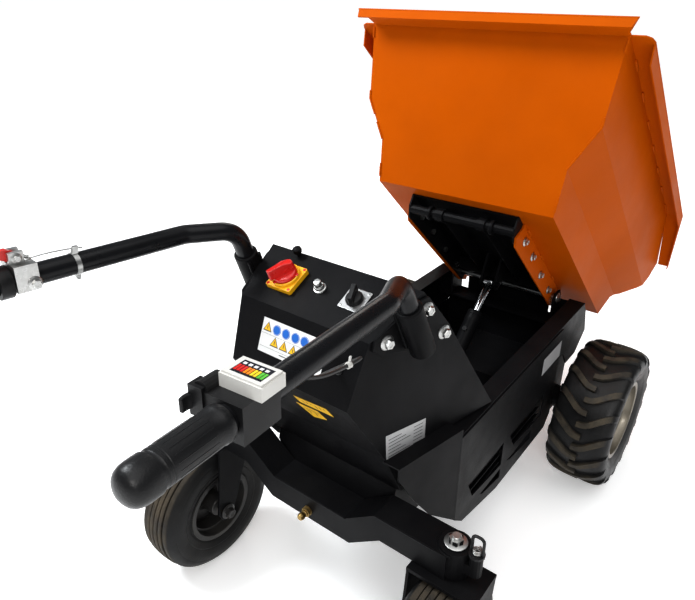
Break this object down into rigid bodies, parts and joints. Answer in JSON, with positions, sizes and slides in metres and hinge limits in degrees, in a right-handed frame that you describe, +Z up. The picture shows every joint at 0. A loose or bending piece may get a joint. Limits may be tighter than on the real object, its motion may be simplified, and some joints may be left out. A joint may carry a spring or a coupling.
{
  "type": "walk-behind battery mini dumper",
  "caption": "Compact walk-behind battery dumper with a front-tipping skip on a lift cylinder, driven front wheels and trailing rear casters.",
  "frame": {"origin": "on the ground under the middle of the machine's footprint", "axes": "+X towards the skip and the dumping end, +Y to the operator's left, +Z up"},
  "size_m": [1.8756, 0.849, 1.2552],
  "materials": {
    "black_coat": "satin black powder coat",
    "orange_paint": "semi-gloss orange paint",
    "zinc": "zinc plated",
    "chrome_rod": "hard chrome",
    "rim_silver": "silver painted pressed steel",
    "rim_black": "satin black pressed steel",
    "tyre_rubber": "dusty black rubber",
    "grip_rubber": "matt black rubber",
    "cable_rubber": "black cable sheath",
    "black_plastic": "matt black plastic",
    "white_plastic": "off-white plastic",
    "red_plastic": "glossy red plastic",
    "yellow_plastic": "glossy yellow plastic",
    "red_paint": "glossy red paint",
    "switch_silver": "silver grey plastic",
    "brass": "dull brass",
    "battery_case": "dark grey battery case"
  },
  "bodies": {
    "chassis": {"side_cover_left": "black_coat", "side_cover_right": "black_coat", "rail_left": "black_coat", "rail_right": "black_coat", "front_cross_plate": "black_coat", "belly_pan": "black_coat", "cylinder_foot": "black_coat", "cylinder_foot_pin": "zinc", "battery_pack": "battery_case", "drive_axle": "black_coat", "rear_panel": "black_coat", "reset_button": "red_plastic", "rear_axle_beam": "black_coat", "axle_pivot_pin": "brass", "swivel_lock_left": "zinc", "swivel_lock_right": "zinc", "console": "black_coat", "handlebar_left": "black_coat", "handlebar_right": "black_coat", "grip_left": "grip_rubber", "grip_right": "grip_rubber", "throttle_pod": "black_plastic", "thumb_lever": "black_plastic", "battery_gauge": "white_plastic", "lever_bracket": "zinc", "brake_lever": "red_paint", "throttle_cable": "cable_rubber", "switch_plate": "yellow_plastic", "main_switch": "red_plastic", "start_button": "zinc", "selector_switch": "switch_silver"},
    "skip": {"skip_tub": "orange_paint", "skip_bracket_left": "orange_paint", "skip_bracket_right": "orange_paint", "tipping_cradle": "black_coat", "hinge_shaft": "zinc"},
    "cylinder_barrel": {"cylinder_barrel": "black_coat"},
    "cylinder_rod": {"cylinder_rod": "chrome_rod"},
    "drive_wheel_left": {"drive_tyre_left": "tyre_rubber", "drive_rim_left": "rim_silver"},
    "drive_wheel_right": {"drive_tyre_right": "tyre_rubber", "drive_rim_right": "rim_silver"},
    "caster_left": {"caster_fork_left": "black_coat"},
    "caster_right": {"caster_fork_right": "black_coat"},
    "caster_wheel_left": {"caster_tyre_left": "tyre_rubber", "caster_rim_left": "rim_black"},
    "caster_wheel_right": {"caster_tyre_right": "tyre_rubber", "caster_rim_right": "rim_black"}
  },
  "joints": [
    {"name": "skip_tip", "type": "hinge", "parent": "chassis", "child": "skip", "pos_m": [0.48378, 0, 0.5035], "axis": [0, 1, 0], "range_deg": [-42.85, 12.15]},
    {"name": "cylinder_swing", "type": "hinge", "parent": "chassis", "child": "cylinder_barrel", "pos_m": [0.08418, 0, 0.277], "axis": [0, -1, 0], "range_deg": [-9, 3]},
    {"name": "cylinder_slide", "type": "slide", "parent": "cylinder_barrel", "child": "cylinder_rod", "axis": [0.7374, 0, 0.6755], "range_m": [-0.0582, 0.017]},
    {"name": "drive_wheel_spin_left", "type": "hinge", "parent": "chassis", "child": "drive_wheel_left", "pos_m": [0.45618, 0.342, 0.203], "axis": [0, 1, 0], "continuous": true},
    {"name": "caster_swivel_left", "type": "hinge", "parent": "chassis", "child": "caster_left", "pos_m": [-0.38382, 0.327, 0.38], "axis": [0, 0, 1], "continuous": true},
    {"name": "caster_wheel_spin_left", "type": "hinge", "parent": "caster_left", "child": "caster_wheel_left", "pos_m": [-0.43382, 0.327, 0.165], "axis": [0, 1, 0], "continuous": true},
    {"name": "drive_wheel_spin_right", "type": "hinge", "parent": "chassis", "child": "drive_wheel_right", "pos_m": [0.45618, -0.342, 0.203], "axis": [0, 1, 0], "continuous": true},
    {"name": "caster_swivel_right", "type": "hinge", "parent": "chassis", "child": "caster_right", "pos_m": [-0.38382, -0.327, 0.38], "axis": [0, 0, 1], "continuous": true},
    {"name": "caster_wheel_spin_right", "type": "hinge", "parent": "caster_right", "child": "caster_wheel_right", "pos_m": [-0.43382, -0.327, 0.165], "axis": [0, 1, 0], "continuous": true}
  ],
  "couplings": [
    {"joint": "cylinder_swing", "follows": "skip_tip", "ratio": 0.1951},
    {"joint": "cylinder_slide", "follows": "skip_tip", "m_per_rad": 0.0768}
  ]
}
